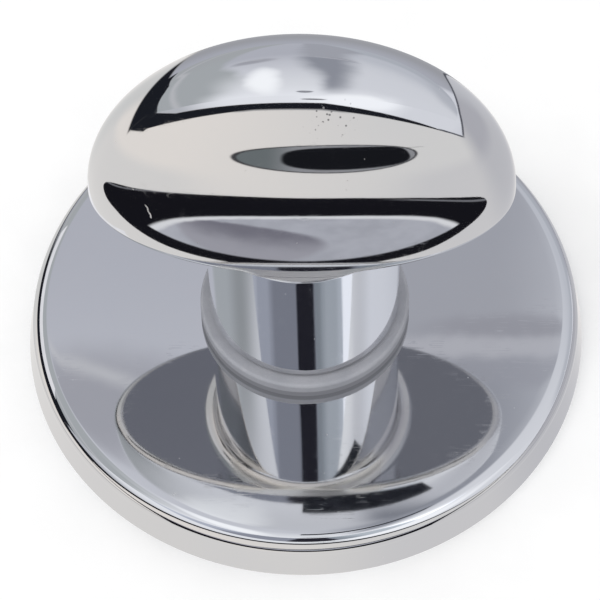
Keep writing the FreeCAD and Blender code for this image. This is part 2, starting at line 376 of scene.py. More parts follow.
def spigot_skins():
    groove_low, groove_top, groove = GROOVE
    end = flatted(ring(SPIGOT, SPIGOT_END))
    mouth = square_ring(SOCKET_MOUTH, SPIGOT_END)
    narrow = square_ring(SOCKET, SPIGOT_END + SOCKET_MOUTH - SOCKET)
    top = square_ring(SOCKET, SOCKET_TOP)
    return [
        [ring(SPIGOT, FLATS_TOP), ring(SPIGOT, FOOT)],
        [flatted(ring(SPIGOT, FLATS_TOP)), ring(SPIGOT, FLATS_TOP)],
        [flatted(ring(SPIGOT, groove_top)), flatted(ring(SPIGOT, FLATS_TOP))],
        [flatted(ring(groove, groove_top)), flatted(ring(SPIGOT, groove_top))],
        [flatted(ring(groove, groove_low)), flatted(ring(groove, groove_top))],
        [flatted(ring(SPIGOT, groove_low)), flatted(ring(groove, groove_low))],
        [end, flatted(ring(SPIGOT, groove_low))],
        [mouth, end],
        [narrow, mouth],
        [top, narrow],
        [square_ring(CENTRE, SOCKET_TOP), top],
    ]


knob_skins = [dome, underside_rings(), neck_rings(), flare] + spigot_skins()
knob = skins_to_object("thumb_turn_knob", knob_skins, "turn")
knob.data.set_sharp_from_angle(angle=CRISP)
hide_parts("thumb_turn")

# %% [markdown]
# ## The rose cover
#
# The rose is pressed from thin sheet: a flat top, a rounded edge and a wall that flares a touch
# towards the door. Only the rounded edge bends the reflections, so that is where the rings crowd
# together. Inside, a shallow groove takes the snap ring that holds the cover on its plate.

# %% Rose cover
ROSE_TOP = 4.2
ROSE_RIM = 25.0
ROSE_FOOT = 25.45
ROSE_EDGE = 1.5
ROSE_WALL = 0.9
ROSE_HOLE = 7.28
BEND_OUT, BEND_HEIGHT = 0.2, 0.56  # the flare's bend: how far out, and at what share of the wall
SNAP_ROOM = (0.42, 1.28, 24.69)  # from this height to that, out to this radius
WALL_HEIGHT = ROSE_TOP - ROSE_EDGE


def rose_outside():
    """Half section of what shows: the wall, the rounded edge and the flat top."""
    flat = ROSE_RIM - ROSE_EDGE
    bend = (ROSE_RIM + BEND_OUT, WALL_HEIGHT * BEND_HEIGHT)
    section = [(ROSE_FOOT, 0.0), bend, (ROSE_RIM, WALL_HEIGHT)]
    section += quarter(flat, WALL_HEIGHT, ROSE_EDGE, 0, 90, steps=28)
    return section + [(r, ROSE_TOP) for r in np.linspace(flat, ROSE_HOLE, 24)[1:]]


def inside_wall(z):
    """The wall's inside, as (radius, z) at a height."""
    return ROSE_FOOT - ROSE_WALL - (ROSE_FOOT - ROSE_RIM) * z / WALL_HEIGHT, z


def rose_skins():
    ceiling = ROSE_TOP - ROSE_WALL
    inner_edge = ROSE_EDGE - ROSE_WALL
    turn_in = ROSE_RIM - ROSE_WALL - inner_edge
    room_low, room_high, room = SNAP_ROOM
    rounded = quarter(turn_in, ceiling - inner_edge, inner_edge, 90, 0, steps=8)
    sections = [
        rose_outside(),
        [(ROSE_HOLE, ROSE_TOP), (ROSE_HOLE, ceiling)],
        [(ROSE_HOLE, ceiling), (turn_in, ceiling)],
        rounded + [inside_wall(room_high)],
        [inside_wall(room_high), (room, room_high)],
        [(room, room_high), (room, room_low)],
        [(room, room_low), inside_wall(room_low)],
        [inside_wall(room_low), inside_wall(0.0)],
        [inside_wall(0.0), (ROSE_FOOT, 0.0)],
    ]
    return [[ring(r, z) for r, z in section] for section in sections]


rose = skins_to_object("rose_cover_shell", rose_skins(), "rose")
rose.data.set_sharp_from_angle(angle=CRISP)
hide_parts("rose_cover")

# %% [markdown]
# ## The chrome
#
# Chrome reflects about two thirds of the light, a little bluish. What makes it look real is what is
# on it: a breath of haze, hair-fine wiping scratches and a few specks of dust. They are worked out
# from the place on the metal in millimetres, so that they keep their size when the camera moves.

# %% Helpers for finishes
CHROME = 0.70


def start_finish(name):
    """A fresh material: its graph, and the place on the surface in millimetres."""
    material = bpy.data.materials.new(name)
    material.use_nodes = True
    material.node_tree.nodes.clear()
    graph = Wire(material.node_tree)
    place = graph.node("ShaderNodeTexCoord", output=3)
    in_mm = graph.node("ShaderNodeVectorMath", {"operation": "SCALE"}, {0: place, "Scale": 1000.0})
    return material, graph, in_mm


def close_finish(graph, height, depth, **sockets):
    """Principled surface with a bump of that height map, depth in metres."""
    names = {name.replace("_", " ").title(): value for name, value in sockets.items()}
    bump = {"Strength": 1.0, "Distance": depth, "Height": height}
    names["Normal"] = graph.node("ShaderNodeBump", sockets=bump)
    surface = graph.node("ShaderNodeBsdfPrincipled", sockets=names)
    graph.node("ShaderNodeOutputMaterial", sockets={"Surface": surface})


def close_glow(graph, colour):
    """A surface that only gives light of that colour: what the mirror rays pick up."""
    glow = graph.node("ShaderNodeEmission", sockets={"Color": colour, "Strength": 1.0})
    graph.node("ShaderNodeOutputMaterial", sockets={"Surface": glow})


def grain(graph, place, size, detail=3.0, stretch=(1.0, 1.0, 1.0), turn=(0.0, 0.0, 0.0)):
    """Soft noise whose lumps are about size millimetres, stretched and turned if asked."""
    scale = tuple(1.0 / (size * s) for s in stretch)
    moved = graph.node("ShaderNodeMapping", {"vector_type": "POINT"},
                       {"Vector": place, "Rotation": turn, "Scale": scale})
    return graph.node("ShaderNodeTexNoise", sockets={"Vector": moved, "Scale": 1.0, "Detail": detail})


def cells(graph, place, spacing):
    """Distance to the nearest of many scattered points, in steps of the spacing."""
    sockets = {"Vector": place, "Scale": 1.0 / spacing}
    return graph.node("ShaderNodeTexVoronoi", {"feature": "F1"}, sockets)


def specks(graph, place, spacing, size):
    """Sparse round specks: 1 on a speck, 0 elsewhere."""
    near = cells(graph, place, spacing)
    patchy = grain(graph, place, spacing * 3.1, 1.0)
    return (1 - near.rise(size / spacing * 0.6, size / spacing)) * patchy.rise(0.5, 0.62)


def hairlines(graph, place, size, turn):
    """Long thin wiping scratches: noise drawn out along one direction, only its crests kept."""
    drawn = grain(graph, place, size, 2.0, stretch=(28.0, 1.0, 1.0), turn=turn)
    return drawn.between(0.495, 0.505, 0.008)


def seen(red, green, blue, bounces=1):
    """Light that shows as this colour once the chrome has reflected it, once or more."""
    return linear(red, green, blue, CHROME ** bounces)


def oval(x, y, centre, half, soft=0.5):
    """1 inside a soft oval, 0 outside."""
    off_x, off_y = (x - centre[0]) / half[0], (y - centre[1]) / half[1]
    return 1 - (off_x * off_x + off_y * off_y).rise(1 - soft, 1 + soft)


print("chrome sends back", CHROME, "of the light")

# %% [markdown]
# ## Marks on the knob
#
# A used knob has marks of its own. A pinch of pin holes in the plating sits high on its front, and
# one short white scratch low on the left, where a ring or a key has caught it.

# %% Marks on the front of the knob
PIN_HOLE_SPACING = 1 / 2.2
SCRATCH_X, SCRATCH_Z, SCRATCH_LEAN = -12.69, 28.13, 0.272


def knob_marks(graph, place):
    """Two masks: pin holes in the plating, and one scratch."""
    x, y, z = split(graph, place)
    front = 1 - y.rise(-1.5, -1.0)
    pin_holes = 1 - cells(graph, place, PIN_HOLE_SPACING).rise(0.17, 0.26)
    pin_holes = pin_holes * oval(x, z, (2.8, 40.0), (2.1, 1.1), 0.7) * front
    pin_holes = pin_holes * grain(graph, place, 0.9, 2.0).rise(0.44, 0.5)
    wander = (grain(graph, place, 0.5, 2.0) - 0.5) * 0.5
    off_line = (z - SCRATCH_Z) * SCRATCH_LEAN + x - SCRATCH_X + wander
    scratch = off_line.between(-0.07, 0.07, 0.03) * z.between(28.1, 29.5, 0.08) * front
    return pin_holes, scratch


print("pin holes lie", round(PIN_HOLE_SPACING, 2), "mm apart")

# %% [markdown]
# Three places on the chrome have their colour changed. The rounding under the knob is hard to reach
# with a polishing wheel and stays satin, rougher than the rest, and its colour is made lighter: a
# painted sheen. A thin band at one height is painted shade, slightly rougher and darker on the left: on
# the knob it darkens the whole flat underside; on the rose it is a line round the rounded edge and the
# hidden ceiling inside. The sides of the neck look past the bright parts of the tent and would come out
# too dim, so their colour is lifted a little, a painted highlight. All of these are masks by height and
# by side, because a mask in millimetres stays in place whatever the mesh is.

# %% Wear and places on the chrome
CHROME_BUMP = 0.0000015


def chrome_wear(graph, place, haze_size, seed_turn):
    """Four masks: fine haze, broad clouds, dust, and wiping lines in two directions."""
    haze = grain(graph, place, haze_size, 4.0)
    broad = grain(graph, place, 11.0, 2.0)
    dust = specks(graph, place, 1.5, 0.075)
    wiped = hairlines(graph, place, 0.35, (0.3, 0.2, 0.4 + seed_turn))
    crossed = hairlines(graph, place, 0.28, (1.1, 0.7, 1.9 + seed_turn))
    lines = wiped * broad.rise(0.5, 0.68) + crossed * (1 - broad.rise(0.3, 0.46))
    return haze, broad, dust, lines * haze.rise(0.45, 0.6)


def neck_side_mask(x, z):
    """1 on the two sides of the neck's wall, 0 in its middle and everywhere else."""
    on_neck = z.between(FOOT, UNDERSIDE - FLARE, 0.5)
    return (x.rise(4.7, 6.2) + 1 - x.rise(-6.8, -5.5)) * on_neck


print("chrome's bump is", CHROME_BUMP * 1e6, "thousandths of a millimetre deep")

# %% [markdown]
# The chrome itself is a metal with all of these on it. The knob and the sheet of the rose are plated
# alike but worn differently, so one function makes both, each with its own size of haze and its own
# direction of wiping.

# %% Polished chrome on knob and rose
def chrome(name, haze_size, seed_turn, shade_height, satin_and_sheen=(0.0, 0.0), marked=False):
    """satin_and_sheen gives the heights between which the chrome is rougher, with a painted sheen;
    shade_height gives the height of a band of painted shade; marked adds the knob's marks.
    """
    material, graph, place = start_finish(name)
    x, _, z = split(graph, place)
    haze, broad, dust, lines = chrome_wear(graph, place, haze_size, seed_turn)
    # painted shade: a band at one height, the knob's whole flat underside and a line on the rose's
    # edge, darkened in colour
    painted_shade = z.between(shade_height - 0.03, shade_height + 0.03, 0.01)
    satin_and_sheen_band = z.between(*satin_and_sheen, 0.12) * x.between(-7.2, 7.2, 0.8) * (1 - painted_shade)
    tone = (broad - 0.5) * 0.10 + (haze - 0.5) * 0.05 + 0.5
    cool, warm = (CHROME * 0.965, CHROME * 0.975, CHROME), (CHROME, CHROME, CHROME * 1.01)
    base = tone.rise(0.42, 0.58).blend(cool, warm)
    base = (dust * 0.7).blend(base, (0.78, 0.77, 0.75))
    # the painted shade is darker on the left than on the right
    shade_tone = x.rise(-9.0, 9.0).blend((0.40, 0.405, 0.43), (0.50, 0.505, 0.53))
    base = (painted_shade * 0.9).blend(base, shade_tone)
    # painted sheen: the satin band's colour is made lighter than the chrome's, its roughness is the
    # real satin
    base = (satin_and_sheen_band * 0.9).blend(base, (0.84, 0.83, 0.80))
    # painted highlight: the sides of the neck's wall are lifted brighter than the chrome
    base = neck_side_mask(x, z).blend(base, (0.93, 0.94, 0.965))
    rough = haze * 0.03 + broad * 0.02 + lines * 0.12 + dust * 0.35 + painted_shade * 0.04 + 0.012
    rough = rough + satin_and_sheen_band * 0.3
    if marked:
        pin_holes, scratch = knob_marks(graph, place)
        base = (pin_holes * 0.8).blend(base, (0.2, 0.2, 0.21))
        base = scratch.blend(base, (0.85, 0.85, 0.85))
        rough = rough + pin_holes * 0.3 + scratch * 0.5
    height = haze * 0.15 + dust * 0.9 - lines * 0.35
    close_finish(graph, height, CHROME_BUMP, base_color=base, roughness=rough, metallic=1.0)
    return material


satin_and_sheen_below = (UNDERSIDE - 0.75, 23.95)
knob_chrome = chrome("polished_chrome_finish", 0.9, 0.0, UNDERSIDE, satin_and_sheen_below, marked=True)
rose_chrome = chrome("polished_chrome_sheet_finish", 1.3, 0.9, ROSE_TOP - ROSE_WALL)
knob.data.materials.append(knob_chrome)
rose.data.materials.append(rose_chrome)
print("chrome on:", knob.name, "and", rose.name)

# %% [markdown]
# ## The nylon bush
#
# The grey ring between the neck and the rose is a turned nylon bush. Nylon takes no polish: it keeps
# a fine grain and faint turning rings, and the light sinks a little into its gloss.

# %% Grey nylon
BUSH_TOP = 5.85
SKIRT_BELOW = 1.05  # from here down, under the top, the bush's side is in shade
NYLON_BUMP = 0.00001


def turning_rings(graph, place, pitch):
    """Distance from the turn's axis in steps of pitch, as a wave from 0 to 1."""
    x, y, _ = split(graph, place)
    radius = (x * x + y * y).root()
    return (radius * (2 * math.pi / pitch)).sine() * 0.5 + 0.5


def nylon():
    material, graph, place = start_finish("grey_nylon_finish")
    fine = grain(graph, place, 0.12, 4.0)
    cloudy = grain(graph, place, 2.6, 3.0)
    rings = turning_rings(graph, place, 0.22)
    tone = fine * 0.35 + cloudy * 0.65
    base = tone.rise(0.3, 0.7).blend((0.37, 0.38, 0.42), (0.455, 0.462, 0.5))
    z = split(graph, place)[2]
    # painted shade: the side of the bush below its top is darkened in colour
    skirt_shade = 1 - z.rise(BUSH_TOP - SKIRT_BELOW, BUSH_TOP - SKIRT_BELOW + 0.15)
    base = (skirt_shade * 0.85).blend(base, (0.23, 0.235, 0.26))
    rough = fine * 0.12 + cloudy * 0.08 + 0.5
    height = fine * 0.5 + rings * 0.25
    close_finish(graph, height, NYLON_BUMP, base_color=base, roughness=rough)
    return material


def dress(node, material):
    """The CAD node's own slot takes this finish."""
    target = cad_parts[node]
    target.data.materials.clear()
    target.data.materials.append(material)
    print(node, "is finished in", material.name)


dress("neck_bush", nylon())

# %% [markdown]
# ## The hidden fittings
#
# Behind the cover sit a die-cast zinc plate, a spring-steel snap ring, a stamped and plated stop
# washer, a disc spring and a retaining ring. Castings are dull and a little pitted, stampings keep
# the grain of the rolled sheet, and hardened springs are darkened by their heat treatment.

# %% Cast zinc
ZINC_BUMP = 0.00004


def cast_zinc():
    material, graph, place = start_finish("cast_zinc_finish")
    skin = grain(graph, place, 0.5, 6.0)
    flow = grain(graph, place, 7.0, 3.0, stretch=(2.5, 1.0, 1.0))
    pits = specks(graph, place, 1.1, 0.12)
    tone = (skin * 0.4 + flow * 0.6).rise(0.32, 0.68)
    base = tone.blend((0.36, 0.37, 0.39), (0.52, 0.53, 0.54))
    base = (pits * 0.6).blend(base, (0.2, 0.2, 0.21))
    rough = skin * 0.2 + flow * 0.1 + 0.36
    height = skin * 0.6 - pits * 1.2
    close_finish(graph, height, ZINC_BUMP, base_color=base, roughness=rough, metallic=0.9)
    return material


dress("base_plate", cast_zinc())

# %% [markdown]
# The four steel fittings differ in colour only, so one function makes all three finishes: the grain
# of the rolled strip, and a bloom of colour from the plating or from the heat. The disc spring and
# the retaining ring share one finish.

# %% The steels
STEEL_BUMP = 0.00001


def rolled_steel(name, dark, light, gloss, tint):
    """Strip or sheet steel: rolling grain along X, a bloom of colour from plating or heat."""
    material, graph, place = start_finish(name)
    rolled = grain(graph, place, 0.09, 4.0, stretch=(24.0, 1.0, 1.0))
    bloom = grain(graph, place, 3.4, 2.0)
    base = (rolled * 0.6 + bloom * 0.4).rise(0.3, 0.7).blend(dark, light)
    base = (bloom.rise(0.45, 0.75) * 0.5).blend(base, tint)
    rough = rolled * 0.2 + bloom * 0.08 + gloss
    close_finish(graph, rolled, STEEL_BUMP, base_color=base, roughness=rough, metallic=1.0)
    return material


STEELS = {
    "spring_strip_finish": ((0.16, 0.15, 0.14), (0.3, 0.29, 0.28), 0.22, (0.2, 0.17, 0.14)),
    "plated_steel_finish": ((0.5, 0.51, 0.54), (0.68, 0.69, 0.72), 0.2, (0.6, 0.63, 0.7)),
    "spring_steel_finish": ((0.09, 0.09, 0.1), (0.2, 0.19, 0.19), 0.2, (0.13, 0.11, 0.1)),
}
steel = {name: rolled_steel(name, *look) for name, look in STEELS.items()}
dress("snap_ring", steel["spring_strip_finish"])
dress("stop_washer", steel["plated_steel_finish"])
dress("disc_spring", steel["spring_steel_finish"])
dress("retaining_ring", steel["spring_steel_finish"])

# %% [markdown]
# ## The light tent
#
# A photographer puts polished metal in a tent: pale cloth on all sides, a soft panel overhead, with
# black frames that draw crisp lines in the chrome. The cloth and everything far away are painted on
# the world by direction. Mirror rays see it; soft light is plain and even; the camera sees white.

# %% Directions in the tent
world = bpy.data.worlds.new("light_tent")
bpy.context.scene.world = world
world.use_nodes = True
world.node_tree.nodes.clear()
world.cycles.sampling_method = "NONE"
tent = Wire(world.node_tree)
direction = tent.node("ShaderNodeTexCoord", output=0)
east, north, up = split(tent, direction)
print("white cloth as light:", [round(v, 2) for v in seen(212, 209, 205)])

# %% [markdown]
# The cloth is near white, but never quite even: it is warm on the left and greyer to the right and
# low down. One colour blends into the next by direction.

# %% Cloth all round
cloth = east.rise(-0.8, 0.7).blend(seen(219, 214, 209), seen(204, 203, 202))
low_cloth = east.rise(0.0, 0.5).blend(seen(207, 205, 203), seen(196, 195, 196))
cloth = ((1 - up.rise(-0.36, -0.2)) * north.rise(-0.95, -0.7)).blend(cloth, low_cloth)
cloth = (north.rise(0.3, 0.7) * (1 - east.rise(-0.5, -0.1))).blend(cloth, seen(196, 196, 195))
to_the_right = (east * 0.9 + north * 0.45 + (-up).highest(0.0) * 0.3).rise(0.68, 0.93)
right_shade = up.rise(-0.42, -0.22).blend(seen(181, 181, 185), seen(168, 168, 174))
cloth = to_the_right.blend(cloth, right_shade)
cloth = (north.rise(0.45, 0.85) * east.rise(-0.1, 0.3)).blend(cloth, seen(182, 183, 188))
print("cloth: warm on the left, greyer on the right")

# %% [markdown]
# The overhead panel is a real sheet, made further down, but a flat sheet can't reach the horizon.
# What lies beyond it is painted here: its far part, behind, and the black frames of its left and
# right edges. A straight edge in space is a plane through the eye, so each one is a plain sum of the
# three parts of the direction, which is zero on the edge.

# %% Back of the panel and its black frames
inside_left = east * 1.325 - north * 0.206 + up + 0.985
outside_left = east * 1.047 - north * 0.485 + up + 1.155
inside_right = east * -1.053 - north * 0.288 + up + 0.99
right_edge = inside_right + (north - 0.2).highest(0.0) * 0.085 + 0.013
behind = north.rise(0.0, 0.1) * inside_left.rise(-0.015, 0.015) * right_edge.rise(-0.01, 0.01)
left_frame = outside_left.rise(-0.02, 0.02) * (1 - inside_left.rise(-0.015, 0.015))
left_frame = left_frame * north.rise(-0.06, 0.0)
line_width = east.highest(0.0) * 0.013 + 0.0015
right_frame = (right_edge / line_width).between(-1.0, 1.0, 0.5) * east.rise(0.05, 0.12)
right_frame = right_frame * north.rise(-0.27, -0.2)
back_tone = up.rise(-0.5, 0.1).blend(seen(146, 147, 152), seen(164, 166, 175))
right_panel = right_edge.rise(0.0, 0.01) * east.rise(0.72, 0.82) * up.rise(-0.3, -0.2)
print("frames: thick on the left, thin on the right")

# %% [markdown]
# The wide black bar across the knob is the mirror image of the panel's front rail. It is painted in
# flat plan: across and ahead are where a ray meets a ceiling one step up.

# %% Front rail of the panel
steep = up.highest(0.05)
across, ahead = east / steep, north / steep
rail_low = (across - 0.25).highest(0.0) * -0.34 - (-across - 0.6).highest(0.0) * 0.215 - 1.35
rail_top = (across - 0.25).highest(0.0) * -0.36 + (-across - 2.5).highest(0.0) * 0.35 - 1.03
above_low = (ahead - rail_low).rise(-0.03, 0.03)
above_top = (ahead - rail_top).rise(-0.02, 0.02)
corner = (up + north * 0.4 + 0.098).rise(-0.012, 0.012)
rail = above_low * (1 - above_top) * corner * (1 - north.rise(-0.02, 0.04))
fringe = (ahead - rail_low).between(-0.06, 0.0, 0.04) * across.between(-0.9, 0.6, 0.15)
right_end = east * 0.277 + north * 0.83 + up
rail_end = right_end.between(-0.004, 0.028, 0.006) * east.rise(0.84, 0.88)
rail_end = rail_end * up.between(-0.06, 0.14, 0.02)
sliver = right_end.rise(0.02, 0.04) * (1 - inside_right.rise(-0.06, -0.03))
sliver = sliver * up.between(-0.08, 0.09, 0.03)
sliver = sliver * (1 - north.rise(-0.26, -0.18)) * east.rise(0.86, 0.93)
print("rail: wide on the left and in the middle, thin on the right")

# %% [markdown]
# Between the rail and the sheet lies the front part of the panel, dim on the left and with a bright
# spot in the middle. It uses the same flat plan.

# %% Front part of the panel
front_tone = across.rise(-2.2, -0.7).blend(seen(176, 178, 184), seen(222, 224, 229))
bright_spot = oval(across, ahead, (0.72, -0.85), (0.62, 0.42), 0.9)
front_tone = bright_spot.blend(front_tone, seen(240, 242, 246))
front_tone = across.rise(1.1, 1.9).blend(front_tone, seen(208, 210, 216))
dark_spot = oval(across, ahead, (0.13, -0.87), (0.13, 0.03), 0.4)
front_tone = (dark_spot * 0.85).blend(front_tone, seen(70, 72, 80))
front_panel = above_top * up.rise(0.0, 0.1) * (1 - north.rise(-0.02, 0.04))
print("the panel's front part goes on above the rail")

# %% [markdown]
# The neck's wall is seen twice reflected, first by the wall and then by the rose, and it looks
# steeply up over the rail. A cylinder stretches what it sees into upright stripes, so stripes by the
# angle to the side are all that it needs: pale on the left, black in the middle, white on the right.

# %% What the neck sees over the rail
turn_to_side = tent.maths("ARCTAN2", east, -north) * (180 / math.pi)
ripple = grain(tent, direction, 0.03, 2.0)
side = turn_to_side + (ripple - 0.5) * 5
stripes = side.rise(-59.0, -55.0).blend(seen(158, 162, 172, 2), seen(144, 148, 159, 2))
stripes = side.rise(-45.0, -34.0).blend(stripes, seen(115, 118, 128, 2))
stripes = side.between(-7.8, 13.2, 1.2).blend(stripes, seen(30, 30, 37, 2))
RIGHT_STRIPES = [
    (13.0, 15.0, (118, 124, 131)),
    (17.0, 29.0, (150, 156, 163)),
    (38.0, 45.0, (162, 168, 176)),
    (46.0, 49.0, (228, 231, 238)),
    (61.0, 68.0, (206, 210, 219)),
]
for start, full, tone in RIGHT_STRIPES:
    stripes = side.rise(start, full).blend(stripes, seen(*tone, 2))
over_rail = up.rise(0.817, 0.825) * (1 - north.rise(-0.02, 0.0))
print("stripes to the right of the black one:", len(RIGHT_STRIPES))

# %% [markdown]
# The dark lens in the middle of the knob is the opening in the front cloth, through which the picture
# is taken. Two rounded boxes do it: the opening itself, with a grey left end, and a darker core.

# %% Opening in the front cloth
forward = (-north).highest(0.05)
sideways, upward = east / forward, up / forward
off_x, off_z = (sideways - 0.21) / 0.6, (upward + 0.085) / 0.157
in_front = 1 - north.rise(-0.6, -0.4)
spread = off_x.size_to_power(2.0) + off_z.size_to_power(2.0)
opening = (1 - spread.rise(0.96, 1.06)) * in_front
core_x, core_z = (sideways - 0.3) / 0.405, (upward + 0.085) / 0.125
core = 1 - (core_x.size_to_power(3.0) + core_z.size_to_power(3.0)).rise(0.9, 1.12)
hole_tone = sideways.rise(-0.2, 0.0).blend(seen(100, 106, 108), seen(136, 137, 141))
hole_tone = spread.rise(0.86, 0.92).blend(hole_tone, seen(60, 60, 63))
hole_tone = core.blend(hole_tone, seen(22, 23, 27))
print("opening: grey end, dark middle")

# %% [markdown]
# The parts go over each other from back to front, as when painting. Only mirror rays get this
# picture. All other light is one even grey, which keeps noise and stray colour out of the floor.

# %% The tent put together
sky = behind.blend(cloth, back_tone)
sky = (right_panel * right_end.rise(0.0, 0.02)).blend(sky, seen(203, 205, 212))
sky = (fringe * 0.8).blend(sky, seen(108, 110, 116))
sky = front_panel.blend(sky, front_tone)
sky = rail.highest(left_frame).blend(sky, seen(26, 28, 34))
sky = right_frame.highest(rail_end).blend(sky, seen(80, 82, 89))
sky = sliver.blend(sky, seen(228, 229, 232))
sky = over_rail.blend(sky, stripes)
sky = opening.blend(sky, hole_tone)
EVEN_LEVEL = 0.78
is_camera = tent.node("ShaderNodeLightPath", output="Is Camera Ray")
is_glossy = tent.node("ShaderNodeLightPath", output="Is Glossy Ray")
light = is_glossy.blend((EVEN_LEVEL,) * 3, sky)
light = is_camera.blend(light, (1.0, 1.0, 1.0))
glow = tent.node("ShaderNodeBackground", sockets={"Color": light, "Strength": 1.0})
tent.node("ShaderNodeOutputWorld", sockets={"Surface": glow})
print("nodes in the tent:", len(world.node_tree.nodes))

# %% [markdown]
# ## The overhead panel
#
# The panel hangs only a hand's width above the knob, so the knob, the neck and the rose each see a
# different part of it. That is why it is a real sheet here and not painted on the world. Only mirror
# rays see it, so it neither shades the floor nor shows from behind. The dark card, the flag and the
# paper strip further down are made by the same helper.

# %% A sheet that only mirror rays see
def mirror_sheet(name, outline, z, material, lift=None):
    """A flat sheet inside the outline, or a strip bent to the height that lift gives for each point."""
    mesh = bpy.data.meshes.new(name)
    count = len(outline)
    faces = [tuple(range(count))]
    if lift:
        faces = [(i, i + 1, count - 2 - i, count - 1 - i) for i in range(count // 2 - 1)]
    corners = [(x, y, lift(x, y) if lift else z) for x, y in outline]
    mesh.from_pydata([(x * MM, y * MM, height * MM) for x, y, height in corners], [], faces)
    sheet = bpy.data.objects.new(name, mesh)
    bpy.context.scene.collection.objects.link(sheet)
    mesh.materials.append(material)
    material.cycles.emission_sampling = "NONE"
    for rays in ("camera", "diffuse", "shadow", "transmission", "volume_scatter"):
        setattr(sheet, "visible_" + rays, False)
    print(name, "corners:", count, "height in mm:", z)
    return sheet


# %% [markdown]
# The panel's pattern is worked out in millimetres: a dim left border, a lilac field, a duller seam in
# the middle, a bright field on the right, and two hot spots and some streaks on them. The fields run
# from the back to the front of the sheet, so each border is a line whose place changes with y.

# %% Fields of the overhead panel
def panel_fields(x, y):
    """The broad tones of the panel, side by side from left to right."""
    tone = y.rise(60.0, 150.0).blend(seen(161, 165, 168), seen(160, 163, 166))
    left_band = (x + y.rise(90.0, 170.0) * 50).between(-133.0, -114.0, 12.0)
    tone = left_band.blend(tone, seen(179, 180, 184))
    lilac = y.rise(5.0, 70.0).blend(seen(196, 198, 205), seen(171, 173, 182))
    left_border = y.rise(-10.0, 60.0) * -22.0 - 28.0
    return (x - left_border).rise(-7.0, 5.0).blend(tone, lilac)


def panel_right_fields(x, y, tone):
    """The seam in the middle and the bright field to the right of it, over the tone so far."""
    seam = y.rise(42.0, 54.0).blend(seen(138, 141, 150), seen(156, 158, 166))
    seam_left = y.rise(-20.0, 40.0) * -11.0 + 13.0
    seam_right = y.rise(-30.0, 60.0) * 6.0 + y.rise(60.0, 200.0) * 36.0 + 21.0
    tone = (x - seam_left).rise(-9.0, 5.0).blend(tone, seam)
    right_tone = y.rise(10.0, 90.0).blend(seen(203, 205, 211), seen(183, 186, 194))
    right_tone = y.rise(120.0, 190.0).blend(right_tone, seen(168, 172, 180))
    return (x - seam_right).rise(-7.0, 12.0).blend(tone, right_tone)


def panel_front_fields(x, y, tone):
    """The brighter tones near the front of the sheet, over the tone so far."""
    tone = (x.rise(120.0, 200.0) * y.rise(0.0, 60.0) * 0.6).blend(tone, seen(170, 173, 181))
    low_part = 1 - y.rise(-24.0, 22.0)
    left_low = low_part * x.rise(-66.0, -26.0) * (1 - x.rise(6.0, 15.0))
    tone = left_low.blend(tone, seen(213, 215, 220))
    tone = (low_part * x.rise(22.0, 38.0)).blend(tone, seen(205, 207, 213))
    lowest = (1 - y.rise(-42.0, -16.0)) * x.rise(-90.0, -40.0) * (1 - x.rise(60.0, 90.0))
    return lowest.blend(tone, seen(226, 228, 233))


print("the panel has three groups of fields")

# %% [markdown]
# Streaks and spots go over the fields, each a soft oval with a centre, a half size, a softness, a
# strength and a tone. A table keeps them readable. A little noise bends their borders, since a
# panel's cloth is never quite flat.

# %% Pattern of the overhead panel
STREAKS = [
    ((24, 45.6), (10, 2.2), 0.9, 0.7, (146, 148, 157)),
    ((23, 51.7), (10, 1.7), 0.9, 0.9, (145, 146, 154)),
    ((19, 49.0), (14, 1.5), 0.9, 0.9, (173, 174, 181)),
]
SPOTS = [
    ((-19, -10), (9, 24), 0.95, 1.0, (242, 244, 247)),
    ((35, -45), (22, 12), 0.95, 1.0, (242, 244, 247)),
    ((2.5, -31), (4.2, 2.2), 0.4, 0.8, (105, 107, 115)),
]


def add_ovals(x, y, tone, ovals):
    """Lays each oval of a table over the tone."""
    for centre, half, soft, strength, colour in ovals:
        tone = (oval(x, y, centre, half, soft) * strength).blend(tone, seen(*colour))
    return tone


def panel_finish():
    material, graph, place = start_finish("overhead_panel")
    x, y, _ = split(graph, place)
    frame_edge = (y - 90.0).highest(0.0) * -0.62 - (60.0 - y).highest(0.0) * 0.7 - 165.0
    frame_part = (frame_edge - x).rise(-3.0, 3.0)
    ripple = grain(graph, place, 3.0, 3.0) - 0.5
    streak_x, streak_y = x, y + ripple * 1.6
    wavy = grain(graph, place, 24.0, 2.0) - 0.5
    x, y = x + wavy * 9, y + wavy * 7
    tone = panel_fields(x, y)
    shaded = oval(streak_x, streak_y, (-27, 40.5), (13, 7.5), 0.9) * 0.9
    tone = shaded.blend(tone, seen(152, 153, 161))
    left_streak = (streak_y + streak_x * 0.33).between(35.9, 37.4, 1.2)
    left_streak = left_streak * streak_x.between(-37.0, -21.0, 3.0)
    tone = (left_streak * 0.85).blend(tone, seen(190, 191, 195))
    tone = panel_right_fields(x, y, tone)
    tone = add_ovals(streak_x, streak_y, tone, STREAKS)
    tone = panel_front_fields(x, y, tone)
    tone = add_ovals(x, y, tone, SPOTS)
    tone = frame_part.blend(tone, seen(26, 28, 34))
    close_glow(graph, tone)
    return material


def panel_outline():
    """A disc, cut off in front where the rail and the front part are painted on the world."""
    edge = [(-560, 20), (-240, -24), (-130, -37), (-62, -39), (500, -39)]
    angles = np.linspace(math.radians(-2), math.radians(178), 60)
    reach = np.interp(angles, np.radians([0, 45, 70]), [500, 500, 800])
    return edge + [(r * math.cos(a), r * math.sin(a)) for r, a in zip(reach, angles)]


PANEL_HEIGHT = 91.0
panel = mirror_sheet("overhead_panel_sheet", panel_outline(), PANEL_HEIGHT, panel_finish())

